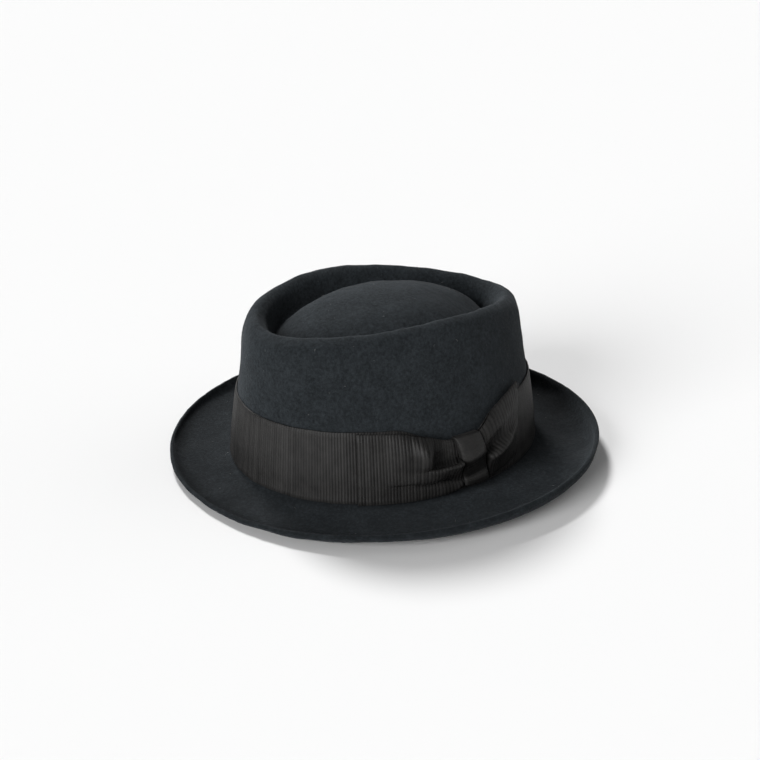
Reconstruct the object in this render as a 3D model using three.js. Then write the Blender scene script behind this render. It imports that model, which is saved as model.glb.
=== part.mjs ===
// A porkpie hat: a felt crown and brim in one piece, a grosgrain band and a flat side bow.
// Millimetres, +Z up. The hat stands on its brim at z = 0, its front towards -Y and the
// wearer's left, where the bow sits, towards +X.
import * as THREE from 'three';

// Felt shell
const HEAD_WIDTH = 170; // inside, from side to side
const HEAD_LENGTH = 194; // inside, from front to back
const FELT = 2.5; // wall
const FOOT_EGG = 0.03; // how much wider the foot is in front than behind, as a share

// Where the crown meets the brim, height of the felt's upper side
const FOOT_FRONT = 6;
const FOOT_SIDE = 8.7;
const FOOT_BACK = 7.5;

// Rolled rim of the crown, along its crest
const RIM_WIDTH = 116;
const RIM_LENGTH = 169;
const RIM_SHIFT = 0.2; // towards the front
const RIM_EGG = 0.06;
const RIM_FRONT = 97;
const RIM_SIDE = 103.5;
const RIM_BACK = 93;
const ROLL = 7.2; // half the width of the roll

// Groove inside the rim, and the dome that it leaves in the middle
const GROOVE_INSET = 9.5; // from the crest to the groove's floor, sideways
const GROOVE_DEPTH = 16.5;
const DOME_TOP = 106;

// Brim, in plan, and the heights of its upper side
const BRIM_FRONT = 34.4;
const BRIM_SIDE = 44;
const BRIM_BACK = 34;
const SETTLE = 0.5; // how far the soft brim gives way where it lies on the surface
const LOW_SIDE = 6; // lowest line of the brim at the sides
const EDGE_FRONT = 5.6;
const EDGE_SIDE = 14.4;
const EDGE_BACK = 16;

// Ribbon band
const BAND_WIDTH = 42;
const BAND_THICK = 1.2;
const BAND_LIFT = 0.6; // lower edge of the band above the foot
const BAND_DIP = 10.5; // how far the knot draws the band's upper edge down
const DIP_NEAR = 14; // along the band from the knot's middle, where the dip is still whole
const DIP_FAR = 44; // and where it ends
const GAP = 0.3; // between two pieces that touch

// Bow: a doubled ribbon along the band, tied down by a short ribbon across it
const BOW_CENTRE = 87.7; // degrees round the crown from the front
const STRIP_FRONT = 65; // length of the flat strip from the knot's middle to its front end
const STRIP_BACK = 37; // and to its back end
const STRIP_SLANT = 12; // how much further back the back end reaches along its upper edge
const STRIP_THICK = 1.6;
const PUFF = 8.5; // height of the pleats beside the knot
const PLEATS_FRONT = 42; // length of the pleats in front of the knot
const PLEATS_BACK = 30; // and behind it
const PLEATS_START = 1.5; // how far from the knot's side the pleats have sprung up
const BED_THICK = 2.8; // the strip, pressed together under the knot
const BED_REACH = 15; // how far from the knot's side it stays thicker
const KNOT_WIDTH = 15.6;
const KNOT_THICK = 1.4;
const KNOT_LEAN = 4.9; // how much further back its lower end lies
const LEAN_REACH = 26; // how far from its middle the strip leans with it
const KNOT_CROWN = 4.8; // how much the knot bulges in its middle

// Mesh
const AROUND = 54;
const STEPS = 2; // rings between two sections
const CROWDING = 1.6; // how much closer together the strip's sections lie beside the knot
const BESIDE = 0.01; // angle to the neighbouring profile that a normal is taken from
const HALVINGS = 24; // steps in the search for a height on the wall

const degrees = THREE.MathUtils.degToRad;
const mix = THREE.MathUtils.lerp;
const ease = (value, from, to) => THREE.MathUtils.smoothstep(value, from, to);

// A height that is given at the front, side and back, at any angle round the hat
function around(front, side, back, angle) {
  const ends = (front + back) / 2;
  return (ends + side) / 2 + ((front - back) / 2) * Math.cos(angle)
    + ((ends - side) / 2) * Math.cos(2 * angle);
}

// A point of a level oval: half width, half length, shift to the front, egg shape
function oval(halfWidth, halfLength, shift, egg, angle) {
  return new THREE.Vector2(
    halfWidth * Math.sin(angle) * (1 + egg * Math.cos(angle)),
    -halfLength * Math.cos(angle) - shift,
  );
}

const footOval = (angle) => oval(HEAD_WIDTH / 2 + FELT, HEAD_LENGTH / 2 + FELT, 0, FOOT_EGG, angle);
const rimOval = (angle, out) => oval(
  RIM_WIDTH / 2 + out, RIM_LENGTH / 2 + out, RIM_SHIFT, RIM_EGG, angle);
const footHeight = (angle) => around(FOOT_FRONT, FOOT_SIDE, FOOT_BACK, angle);
const rimHeight = (angle) => around(RIM_FRONT, RIM_SIDE, RIM_BACK, angle);
const lowHeight = (angle) => around(FELT - SETTLE, LOW_SIDE, FELT - SETTLE, angle);
const edgeHeight = (angle) => around(EDGE_FRONT, EDGE_SIDE, EDGE_BACK, angle);
const brimWidth = (angle) => around(BRIM_FRONT, BRIM_SIDE, BRIM_BACK, angle);

// Dome, from its middle out: place as a share of the groove's oval, height as a share of the
// way up from the groove's floor to the dome's top
const DOME = [
  { out: 0, up: 1 },
  { out: 0.32, up: 0.93 },
  { out: 0.6, up: 0.73 },
  { out: 0.82, up: 0.4 },
  { out: 0.94, up: 0.12 },
];

// Rim, from the groove's floor out: place in half widths of the roll from the crest, depth
// below the crest as a share of the groove's depth
const RIM = [
  { out: -1.05, down: 0.62 },
  { out: -0.68, down: 0.2 },
  { out: 0, down: 0 },
  { out: 0.66, down: 0.15 },
  { out: 1.08, down: 0.52 },
];

// Wall, from under the roll down: height as a share of the way from the foot to the crest,
// place as shares of the way from the foot's oval in to the crest's, at the sides and the ends
const WALL = [
  { rise: 0.68, sides: 0.49, ends: 0.42 },
  { rise: 0.44, sides: 0.22, ends: 0.27 },
  { rise: 0.17, sides: 0.06, ends: 0.08 },
  { rise: 0.035, sides: 0.01, ends: 0.015 },
];

// Brim, from the foot out: place as a share of its width, then how far it has fallen from the
// foot to its low line, and how far it has curled up from there to the edge
const BRIM = [
  { out: 0.025, fall: 0.12, curl: 0 },
  { out: 0.24, fall: 0.72, curl: 0 },
  { out: 0.5, fall: 1, curl: 0 },
  { out: 0.72, fall: 1, curl: 0.02 },
  { out: 0.88, fall: 1, curl: 0.18 },
  { out: 0.965, fall: 1, curl: 0.5 },
  { out: 1, fall: 1, curl: 1 },
];

// The felt's upper side at one angle, from the middle of the dome to the edge of the brim
function profilePoints(angle) {
  const points = [];
  const add = (plan, height) => points.push(new THREE.Vector3(plan.x, plan.y, height));
  const middle = new THREE.Vector2(0, -RIM_SHIFT);
  const groove = rimOval(angle, -GROOVE_INSET);
  const grooveFloor = rimHeight(angle) - GROOVE_DEPTH;
  for (const { out, up } of DOME) {
    add(middle.clone().lerp(groove, out), mix(grooveFloor, DOME_TOP, up));
  }
  add(groove, grooveFloor);
  for (const { out, down } of RIM) {
    add(rimOval(angle, out * ROLL), rimHeight(angle) - down * GROOVE_DEPTH);
  }
  const foot = footOval(angle);
  const crest = rimOval(angle, 0);
  for (const { rise, sides, ends } of WALL) {
    const share = mix(ends, sides, Math.sin(angle) ** 2);
    add(foot.clone().lerp(crest, share), mix(footHeight(angle), rimHeight(angle), rise));
  }
  for (const { out, fall, curl } of BRIM) {
    const plan = foot.clone().add(oval(brimWidth(angle) * out, brimWidth(angle) * out, 0, 0, angle));
    const flat = mix(footHeight(angle), lowHeight(angle), fall);
    add(plan, flat + curl * (edgeHeight(angle) - lowHeight(angle)));
  }
  return points;
}

const profile = (angle) => new THREE.CatmullRomCurve3(profilePoints(angle), false, 'centripetal');
const SECTIONS = profilePoints(0).length;
const RINGS = (SECTIONS - 1) * STEPS;
const WALL_FROM = DOME.length + 1 + RIM.length - 1;
const WALL_TO = WALL_FROM + WALL.length + 1;

// Unit normal of the felt's upper side, from the profiles just beside an angle
function skinNormal(angle, share) {
  const along = profile(angle).getTangent(share);
  const across = profile(angle + BESIDE).getPoint(share).sub(profile(angle - BESIDE).getPoint(share));
  return along.cross(across).normalize();
}

// A point over the crown's wall: height above the foot, and distance out from the felt
function overWall(angle, height, lift) {
  const curve = profile(angle);
  const target = footHeight(angle) + height;
  let high = WALL_FROM / (SECTIONS - 1);
  let low = WALL_TO / (SECTIONS - 1);
  for (let step = 0; step < HALVINGS; step += 1) {
    const share = (high + low) / 2;
    if (curve.getPoint(share).z > target) high = share;
    else low = share;
  }
  const normal = skinNormal(angle, low);
  normal.z = 0;
  return curve.getPoint(low).addScaledVector(normal.normalize(), lift);
}

// A mesh from its points and its triangles
function meshOf(points, triangles) {
  const geometry = new THREE.BufferGeometry();
  const flat = points.flatMap((point) => [point.x, point.y, point.z]);
  geometry.setAttribute('position', new THREE.Float32BufferAttribute(flat, 3));
  geometry.setIndex(triangles);
  geometry.computeVertexNormals();
  return geometry;
}

// Sections, each a closed loop of points. The last one joins the first, or both are capped.
function loft(sections, joined) {
  const count = sections[0].length;
  const triangles = [];
  const last = joined ? sections.length : sections.length - 1;
  for (let i = 0; i < last; i += 1) {
    const here = i * count;
    const next = ((i + 1) % sections.length) * count;
    for (let j = 0; j < count; j += 1) {
      const k = (j + 1) % count;
      triangles.push(here + j, here + k, next + k, here + j, next + k, next + j);
    }
  }
  if (!joined) {
    const half = count / 2;
    const end = (sections.length - 1) * count;
    for (let j = 0; j < half - 1; j += 1) {
      const a = j;
      const b = j + 1;
      const c = count - 1 - j;
      const d = count - 2 - j;
      triangles.push(a, c, d, a, d, b);
      triangles.push(end + a, end + d, end + c, end + a, end + b, end + d);
    }
  }
  return meshOf(sections.flat(), triangles);
}

// The shell: the upper side and, one wall below it, the under side. The upper side's rings
// run out to the edge of the brim, the under side's run back to the middle of the dome.
function feltBody() {
  const points = [];
  const rings = [];
  const addRing = (place) => {
    rings.push(points.length);
    for (let i = 0; i < AROUND; i += 1) points.push(place((2 * Math.PI * i) / AROUND));
  };
  // The under side, flattened where the brim lies on the surface
  const under = (angle, share) => {
    const point = profile(angle).getPoint(share).addScaledVector(skinNormal(angle, share), -FELT);
    point.z = Math.max(point.z, 0);
    return point;
  };
  for (let ring = 1; ring <= RINGS; ring += 1) {
    addRing((angle) => profile(angle).getPoint(ring / RINGS));
  }
  for (let ring = RINGS; ring >= 1; ring -= 1) {
    addRing((angle) => under(angle, ring / RINGS));
  }
  const top = points.push(new THREE.Vector3(0, -RIM_SHIFT, DOME_TOP)) - 1;
  const ceiling = points.push(new THREE.Vector3(0, -RIM_SHIFT, DOME_TOP - FELT)) - 1;
  const triangles = [];
  for (let i = 0; i < AROUND; i += 1) {
    const j = (i + 1) % AROUND;
    const first = rings[0];
    const final = rings[rings.length - 1];
    triangles.push(top, first + i, first + j, ceiling, final + j, final + i);
    for (let ring = 1; ring < rings.length; ring += 1) {
      const inner = rings[ring - 1];
      const outer = rings[ring];
      triangles.push(inner + i, outer + i, outer + j, inner + i, outer + j, inner + j);
    }
  }
  return meshOf(points, triangles);
}

// Angle round the crown for a length along the band, counted back from the knot
const bandRadius = (HEAD_WIDTH + HEAD_LENGTH) / 4 + FELT;
const angleAlong = (length) => degrees(BOW_CENTRE) + length / bandRadius;

// Rows across the band, as shares of its width: closer together where the felt turns to the brim
const BAND_ROWS = [0, 0.07, 0.35, 0.68, 1];

// The band: one loop of ribbon, each section an upright rectangle, drawn in under the knot
function hatBand() {
  const sections = [];
  for (let i = 0; i < AROUND; i += 1) {
    const angle = (2 * Math.PI * i) / AROUND;
    const fromKnot = Math.abs(angle - degrees(BOW_CENTRE)) * bandRadius;
    const width = BAND_WIDTH - BAND_DIP * (1 - ease(fromKnot, DIP_NEAR, DIP_FAR));
    const side = (lift) => BAND_ROWS.map((row) => overWall(angle, BAND_LIFT + width * row, lift));
    sections.push([...side(GAP), ...side(GAP + BAND_THICK).reverse()]);
  }
  return loft(sections, true);
}

// Edges of the strip, from the knot's side out: place as a share of the way to its front or back
// end, heights of the lower and upper edge as shares of the ribbon's width
const FRONT_EDGES = [
  { at: 0, low: 0.12, high: 0.775 },
  { at: 0.06, low: 0.06, high: 0.785 },
  { at: 0.17, low: 0.02, high: 0.82 },
  { at: 0.32, low: 0.005, high: 0.89 },
  { at: 0.56, low: 0, high: 0.97 },
  { at: 1, low: 0, high: 1 },
];
const BACK_EDGES = [
  { at: 0, low: 0.12, high: 0.775 },
  { at: 0.07, low: 0.08, high: 0.81 },
  { at: 0.3, low: 0.08, high: 0.97 },
  { at: 0.65, low: 0.1, high: 1.1 },
  { at: 1, low: 0.16, high: 1.2 },
];

// Folds beside the knot, each from the knot out, in order from the lower edge up: distance as a
// share of the pleats' length, height as a share of the strip's width there, lift as a share of
// the puff. In front a roll stands up beside a deep pocket, whose lower lip hangs over the lower
// edge. Behind, a roll half way up turns under, with a shallow one over it.
const FOLD_AT = [0, 0.08, 0.2, 0.36, 0.48, 0.66, 1];
const FRONT_FOLDS = [
  {
    height: [0, 0, 0, 0, 0, 0, 0],
    lift: [0.08, 0.06, 0.04, 0.02, 0, 0, 0],
  },
  {
    height: [0.05, 0.09, 0.13, 0.14, 0.14, 0.13, 0.13],
    lift: [0.04, 0.06, 0.09, 0.1, 0.08, 0.03, 0],
  },
  {
    height: [0.1, 0.17, 0.25, 0.28, 0.27, 0.26, 0.25],
    lift: [0.02, 0.02, 0, 0, 0, 0, 0],
  },
  {
    height: [0.36, 0.37, 0.37, 0.33, 0.31, 0.29, 0.28],
    lift: [0.3, 0.34, 0.36, 0.5, 0.4, 0.16, 0],
  },
  {
    height: [0.58, 0.58, 0.57, 0.52, 0.5, 0.42, 0.38],
    lift: [0.8, 0.88, 0.9, 0.82, 0.66, 0.24, 0],
  },
  {
    height: [0.5, 0.5, 0.5, 0.48, 0.52, 0.48, 0.46],
    lift: [0.18, 0.2, 0.2, 0.26, 0.66, 0.26, 0],
  },
  {
    height: [0.64, 0.64, 0.64, 0.62, 0.62, 0.6, 0.56],
    lift: [0, 0, 0, 0.02, 0.9, 0.36, 0],
  },
  {
    height: [0.84, 0.85, 0.85, 0.84, 0.81, 0.78, 0.76],
    lift: [0.04, 0.06, 0.1, 0.3, 1, 0.42, 0],
  },
  {
    height: [1, 1, 1, 1, 1, 1, 1],
    lift: [0.03, 0.05, 0.1, 0.2, 0.28, 0.1, 0],
  },
];
const BACK_FOLDS = [
  {
    height: [0, 0, 0, 0, 0, 0, 0],
    lift: [0.02, 0.02, 0.03, 0.03, 0.02, 0.01, 0],
  },
  {
    height: [0.16, 0.16, 0.16, 0.16, 0.16, 0.16, 0.16],
    lift: [0.06, 0.1, 0.16, 0.2, 0.2, 0.14, 0],
  },
  {
    height: [0.34, 0.34, 0.34, 0.34, 0.34, 0.34, 0.34],
    lift: [0.25, 0.34, 0.46, 0.52, 0.5, 0.32, 0.03],
  },
  {
    height: [0.48, 0.48, 0.48, 0.49, 0.5, 0.52, 0.54],
    lift: [0.5, 0.7, 0.92, 1, 0.94, 0.62, 0.05],
  },
  {
    height: [0.53, 0.53, 0.54, 0.56, 0.57, 0.6, 0.62],
    lift: [0.02, 0.02, 0.1, 0.36, 0.52, 0.4, 0],
  },
  {
    height: [0.62, 0.62, 0.63, 0.66, 0.68, 0.7, 0.7],
    lift: [0, 0, 0.04, 0.22, 0.36, 0.3, 0],
  },
  {
    height: [0.74, 0.74, 0.75, 0.77, 0.79, 0.8, 0.8],
    lift: [0.14, 0.2, 0.34, 0.42, 0.42, 0.28, 0],
  },
  {
    height: [0.9, 0.9, 0.9, 0.9, 0.9, 0.9, 0.9],
    lift: [0.1, 0.18, 0.26, 0.28, 0.24, 0.14, 0],
  },
  {
    height: [1, 1, 1, 1, 1, 1, 1],
    lift: [0.03, 0.04, 0.06, 0.06, 0.04, 0.02, 0],
  },
];

// A value of a table's column at any place along it
function lookUp(places, values, place) {
  const next = Math.max(1, places.findIndex((at) => at >= place));
  const share = THREE.MathUtils.inverseLerp(places[next - 1], places[next], place);
  return mix(values[next - 1], values[next], share);
}

// Heights of the strip's lower and upper edge at a length along the band
function stripEdges(length) {
  const edges = length < 0 ? FRONT_EDGES : BACK_EDGES;
  const end = length < 0 ? STRIP_FRONT : STRIP_BACK;
  const side = KNOT_WIDTH / 2 + GAP;
  const share = THREE.MathUtils.clamp((Math.abs(length) - side) / (end - side), 0, 1);
  const places = edges.map((edge) => edge.at);
  return ['low', 'high'].map((key) => (
    BAND_LIFT + BAND_WIDTH * lookUp(places, edges.map((edge) => edge[key]), share)));
}

// Across the strip at a length along the band: points of height and lift, from its lower edge up
function stripSection(length, rows) {
  const [low, high] = stripEdges(length);
  const folds = length < 0 ? FRONT_FOLDS : BACK_FOLDS;
  const fromKnot = Math.max(0, Math.abs(length) - KNOT_WIDTH / 2);
  const distance = Math.min(1, fromKnot / (length < 0 ? PLEATS_FRONT : PLEATS_BACK));
  const open = PUFF * ease(fromKnot, GAP, PLEATS_START);
  const bed = (BED_THICK - STRIP_THICK) * (1 - ease(fromKnot, PLEATS_START, BED_REACH));
  const across = new THREE.CatmullRomCurve3(folds.map(({ height, lift }) => new THREE.Vector3(
    mix(low, high, lookUp(FOLD_AT, height, distance)),
    bed + open * lookUp(FOLD_AT, lift, distance),
    0,
  )), false, 'centripetal');
  return Array.from({ length: rows + 1 }, (_, row) => across.getPoint(row / rows));
}

// Angle of a point of the bow: the strip leans with the knot near it, and its back end slants
function bowAngle(length, share) {
  const lean = KNOT_LEAN * (0.5 - share) * (1 - ease(Math.abs(length), KNOT_WIDTH / 2, LEAN_REACH));
  const slant = length > 0 ? STRIP_SLANT * share * (length / STRIP_BACK) ** 2 : 0;
  return angleAlong(length + lean + slant);
}

// Lengths along one wing of the strip, closer together beside the knot
function wingLengths(end, count) {
  const inner = KNOT_WIDTH / 2 + GAP;
  const lengths = [];
  for (let i = 0; i <= count; i += 1) {
    lengths.push(mix(inner, end, (i / count) ** CROWDING));
  }
  return lengths;
}

// The strip: sections along the band, each a thin upright loop with the pleats on its outside
function bowStrip() {
  const rows = 16;
  const back = GAP + BAND_THICK + GAP;
  const lengths = [
    ...wingLengths(STRIP_FRONT, 11).reverse().map((length) => -length),
    0,
    ...wingLengths(STRIP_BACK, 8),
  ];
  const sections = lengths.map((length) => {
    const [low, high] = stripEdges(length);
    const points = stripSection(length, rows);
    const inside = points.map((point, row) => overWall(
      bowAngle(length, row / rows), mix(low, high, row / rows), back));
    const outside = points.map((point, row) => overWall(
      bowAngle(length, row / rows), point.x, back + STRIP_THICK + point.y));
    return [...inside, ...outside.reverse()];
  });
  return loft(sections, false);
}

// Face of the knot, from its lower end up: height as a share of its length, lift as a share of
// its crown. It bulges in the middle and tucks in below.
const KNOT = [
  { at: 0, high: 0 },
  { at: 0.1, high: 0.3 },
  { at: 0.22, high: 0.1 },
  { at: 0.42, high: 0.4 },
  { at: 0.58, high: 0.96 },
  { at: 0.66, high: 1 },
  { at: 0.83, high: 0.68 },
  { at: 0.94, high: 0.3 },
  { at: 1, high: 0 },
];

// The knot: a short ribbon over the strip, its ends turned in above and below
function bowKnot() {
  const stations = 4;
  const rows = 12;
  const back = GAP + BAND_THICK + GAP;
  const bedTop = back + BED_THICK;
  const [stripLow, stripHigh] = stripEdges(0);
  const low = stripLow - GAP;
  const high = stripHigh + GAP;
  const places = KNOT.map((row) => row.at);
  const heights = KNOT.map((row) => row.high);
  const sections = [];
  for (let i = 0; i <= stations; i += 1) {
    const length = ((2 * i) / stations - 1) * (KNOT_WIDTH / 2);
    const inside = [overWall(bowAngle(length, 0), low, back)];
    const outside = [overWall(bowAngle(length, 0), low - KNOT_THICK, back)];
    for (let row = 0; row <= rows; row += 1) {
      const share = row / rows;
      const angle = bowAngle(length, share);
      const bulge = KNOT_CROWN * lookUp(places, heights, share);
      inside.push(overWall(angle, mix(low, high, share), bedTop + GAP + bulge));
      outside.push(overWall(
        angle, mix(low - KNOT_THICK, high + KNOT_THICK, share), bedTop + GAP + bulge + KNOT_THICK));
    }
    inside.push(overWall(bowAngle(length, 1), high, back));
    outside.push(overWall(bowAngle(length, 1), high + KNOT_THICK, back));
    sections.push([...inside, ...outside.reverse()]);
  }
  return loft(sections, false);
}

const felt = new THREE.MeshStandardMaterial({ color: 0x14181a, roughness: 0.95, metalness: 0 });
const ribbon = new THREE.MeshStandardMaterial({ color: 0x151413, roughness: 0.6, metalness: 0 });

const hat = new THREE.Group();

function addPiece(name, geometry, material) {
  const mesh = new THREE.Mesh(geometry, material);
  mesh.name = name;
  hat.add(mesh);
}

addPiece('felt_body', feltBody(), felt);
addPiece('hat_band', hatBand(), ribbon);
addPiece('bow_strip', bowStrip(), ribbon);
addPiece('bow_knot', bowKnot(), ribbon);

export default hat;
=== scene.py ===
"""A porkpie hat: black wool felt, a grosgrain ribbon band and a flat bow on the wearer's left.

The hat rests on its brim, its front towards -Y and the bow towards +X. Shapes are worked out in
millimetres, as on the hat block, and each mesh is made from them in metres.
"""
import math

import bpy
import numpy as np
from mathutils import Matrix, Vector


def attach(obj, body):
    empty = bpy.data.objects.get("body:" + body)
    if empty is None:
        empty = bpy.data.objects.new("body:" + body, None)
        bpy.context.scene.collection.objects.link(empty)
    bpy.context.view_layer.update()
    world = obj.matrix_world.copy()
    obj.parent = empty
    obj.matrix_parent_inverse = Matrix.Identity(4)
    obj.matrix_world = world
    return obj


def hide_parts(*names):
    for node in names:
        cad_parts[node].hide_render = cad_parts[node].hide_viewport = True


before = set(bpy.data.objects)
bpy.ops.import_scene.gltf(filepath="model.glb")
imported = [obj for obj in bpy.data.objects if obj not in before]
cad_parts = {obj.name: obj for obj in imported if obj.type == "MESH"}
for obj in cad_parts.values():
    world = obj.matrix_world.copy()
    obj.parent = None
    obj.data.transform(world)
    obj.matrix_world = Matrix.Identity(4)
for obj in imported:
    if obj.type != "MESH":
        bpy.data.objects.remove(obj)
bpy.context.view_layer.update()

# Camera
# The hat is looked at from its left front, a little from above, through a short telephoto lens,
# as a hat on a table is photographed.
MM = 0.001
CAMERA_AZIMUTH = math.radians(54)
CAMERA_ELEVATION = math.radians(22.83)
CAMERA_DISTANCE = 824.5
CAMERA_LENS = 62.48
CAMERA_FILM = 36
AIM_HEIGHT = 48.5
AIM_LEFT = 3.57  # how far the middle of the picture lies left of the hat's middle
AIM_DOWN = 2.8

view_back = Vector((
    math.sin(CAMERA_AZIMUTH) * math.cos(CAMERA_ELEVATION),
    -math.cos(CAMERA_AZIMUTH) * math.cos(CAMERA_ELEVATION),
    math.sin(CAMERA_ELEVATION),
))
view_right = Vector((math.cos(CAMERA_AZIMUTH), math.sin(CAMERA_AZIMUTH), 0))
view_up = view_back.cross(view_right)
aim = Vector((0, 0, AIM_HEIGHT)) - AIM_LEFT * view_right - AIM_DOWN * view_up
camera_data = bpy.data.cameras.new("camera")
camera_data.lens = CAMERA_LENS
camera_data.sensor_width = CAMERA_FILM
camera_data.clip_end = 100
camera = bpy.data.objects.new("camera", camera_data)
turn = Matrix((view_right, view_up, view_back)).transposed().to_4x4()
camera.matrix_world = Matrix.Translation((aim + CAMERA_DISTANCE * view_back) * MM) @ turn
bpy.context.scene.collection.objects.link(camera)
bpy.context.scene.camera = camera

# Felt shell
# Crown and brim are one piece of wool felt, steamed over a block: a rolled rim with a groove
# inside it, a low dome in the middle, and a narrow brim that curls up round its raw cut edge.
HEAD_WIDTH = 170
HEAD_LENGTH = 194
FELT = 2.5
FOOT_EGG = 0.03
FOOT = (6, 8.7, 7.5)  # where brim and crown meet: heights at the front, side and back
RIM_WIDTH = 116
RIM_LENGTH = 169
RIM_SHIFT = 0.2
RIM_EGG = 0.06
RIM = (97, 103.5, 93)  # heights of the rolled rim's crest, likewise
ROLL = 7.2
GROOVE_INSET = 9.5
GROOVE_DEPTH = 16.5
DOME_TOP = 106
BRIM_WIDTH = (34.4, 44, 34)
SETTLE = 0.5  # how far the brim gives way where it rests
LOW = (FELT - SETTLE, 6, FELT - SETTLE)  # heights of the brim's upper side where it is lowest
EDGE = (5.6, 14.4, 16)  # and at its cut edge
# From the middle of the dome out: share of the groove's oval, share of the dome's height
DOME_SECTIONS = ((0, 1), (0.32, 0.93), (0.6, 0.73), (0.82, 0.4), (0.94, 0.12))
# Over the roll: half widths of the roll from its crest, share of the groove's depth below it
RIM_SECTIONS = ((-1.05, 0.62), (-0.68, 0.2), (0, 0), (0.66, 0.15), (1.08, 0.52))
# Down the wall: share of its height, shares of the way in to the crest at the sides and ends
WALL_SECTIONS = ((0.68, 0.49, 0.42), (0.44, 0.22, 0.27), (0.17, 0.06, 0.08), (0.035, 0.01, 0.015))
# Out over the brim: share of its width, how far it has fallen, how far it has curled up
BRIM_SECTIONS = ((0.025, 0.12, 0), (0.24, 0.72, 0), (0.5, 1, 0), (0.72, 1, 0.02),
                 (0.88, 1, 0.18), (0.965, 1, 0.5), (1, 1, 1))
FELT_COLUMNS = 360
FELT_ROWS = 168  # from the dome's middle to the brim's edge
UNDER_ROWS = 88
CUT_ROWS = 3  # over the cut edge
SPACED_AT = 0.9  # the angle whose section spaces the rows evenly
FINE_STEPS = 1200  # along that section, to measure it
EDGE_ROUND = 0.45  # how far the cut edge's corners have worn round
# Hand-made unevenness: how far it stands out, how long its bumps are, and its seed
FELT_WAVES = ((0.42, 62, 3), (0.22, 23, 4), (0.07, 9, 5))
EDGE_WAVES = ((0.16, 7, 11),)
# The band draws the felt under it true: from the first height to the second the waves come back
WAVES_ABOVE = (58, 68)
WAVES_BELOW = (9, 5)
CALM_MIDDLE = 0.08  # share of the way out over which they rise from the dome's middle


def around(heights, angle):
    """A size that is given at the front, side and back, at any angle round the hat."""
    front, side, back = heights
    ends = (front + back) / 2
    return (ends + side) / 2 + (front - back) / 2 * np.cos(angle) + (ends - side) / 2 * np.cos(2 * angle)


def oval(half_width, half_length, shift, egg, angle):
    """Points of a level oval, as an array of x and y."""
    x = half_width * np.sin(angle) * (1 + egg * np.cos(angle))
    return np.stack([x, -half_length * np.cos(angle) - shift], -1)


def mix(start, end, share):
    return start + (end - start) * share


def ease(value, start, end):
    """0 before start, 1 after end and a smooth step between them."""
    share = np.clip((value - start) / (end - start), 0, 1)
    return share * share * (3 - 2 * share)


def section_points(angle):
    """The felt's upper side at each angle, at every section from the dome to the brim's edge."""
    foot = oval(HEAD_WIDTH / 2 + FELT, HEAD_LENGTH / 2 + FELT, 0, FOOT_EGG, angle)
    foot_height = around(FOOT, angle)
    rim_height = around(RIM, angle)
    low = around(LOW, angle)
    floor = rim_height - GROOVE_DEPTH
    middle = np.array([0, -RIM_SHIFT])

    def rim(out):
        return oval(RIM_WIDTH / 2 + out, RIM_LENGTH / 2 + out, RIM_SHIFT, RIM_EGG, angle)

    places = []
    for out, up in DOME_SECTIONS + ((1, 0),):
        places.append((mix(middle, rim(-GROOVE_INSET), out), mix(floor, DOME_TOP, up)))
    for out, down in RIM_SECTIONS:
        places.append((rim(out * ROLL), rim_height - down * GROOVE_DEPTH))
    for rise, sides, ends in WALL_SECTIONS:
        share = mix(ends, sides, np.sin(angle) ** 2)[:, None]
        places.append((mix(foot, rim(0), share), mix(foot_height, rim_height, rise)))
    for out, fall, curl in BRIM_SECTIONS:
        width = around(BRIM_WIDTH, angle) * out
        height = mix(foot_height, low, fall) + curl * (around(EDGE, angle) - low)
        places.append((foot + oval(width, width, 0, 0, angle), height))
    return np.stack([np.concatenate([plan, height[:, None]], 1) for plan, height in places], 1)


def through(points, shares):
    """A smooth curve through the points of each row (centripetal Catmull-Rom), at these shares."""
    first = 2 * points[:, :1] - points[:, 1:2]
    final = 2 * points[:, -1:] - points[:, -2:-1]
    ends = np.concatenate([first, points, final], 1)
    spans = points.shape[1] - 1
    place = np.clip(np.asarray(shares) * spans, 0, spans)
    index = np.minimum(place.astype(int), spans - 1)
    share = (place - index)[None, :, None]
    p0, p1, p2, p3 = (ends[:, index + step] for step in range(4))
    d0, d1, d2 = (np.sqrt(np.linalg.norm(b - a, axis=-1, keepdims=True)) + 1e-9
                  for a, b in ((p0, p1), (p1, p2), (p2, p3)))
    start = ((p1 - p0) / d0 - (p2 - p0) / (d0 + d1) + (p2 - p1) / d1) * d1
    end = ((p2 - p1) / d1 - (p3 - p1) / (d1 + d2) + (p3 - p2) / d2) * d1
    square = -3 * p1 + 3 * p2 - 2 * start - end
    cube = 2 * p1 - 2 * p2 + start + end
    return p1 + share * (start + share * (square + share * cube))


def grid_normals(points, closed):
    """Unit normals of a grid of points [column, row]; closed if the columns run right round."""
    if closed:
        wide = np.concatenate([points[-1:], points, points[:1]], 0)
        across = (wide[2:] - wide[:-2])
    else:
        across = np.gradient(points, axis=0)
    normals = np.cross(np.gradient(points, axis=1), across)
    return normals / (np.linalg.norm(normals, axis=-1, keepdims=True) + 1e-12)


def waves(points, length, seed):
    """Smooth unevenness between about -1 and 1 whose bumps are about this long."""
    rng = np.random.default_rng(seed)
    total = np.zeros(points.shape[:-1])
    count = 20
    for _ in range(count):
        way = rng.normal(size=3)
        way *= rng.uniform(0.7, 1.4) * 2 * math.pi / length / np.linalg.norm(way)
        total += np.sin(points @ way + rng.uniform(0, 2 * math.pi))
    return total / math.sqrt(count)


def uneven(points, kinds):
    """Waves of several kinds added up."""
    return sum(size * waves(points, length, seed) for size, length, seed in kinds)


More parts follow.
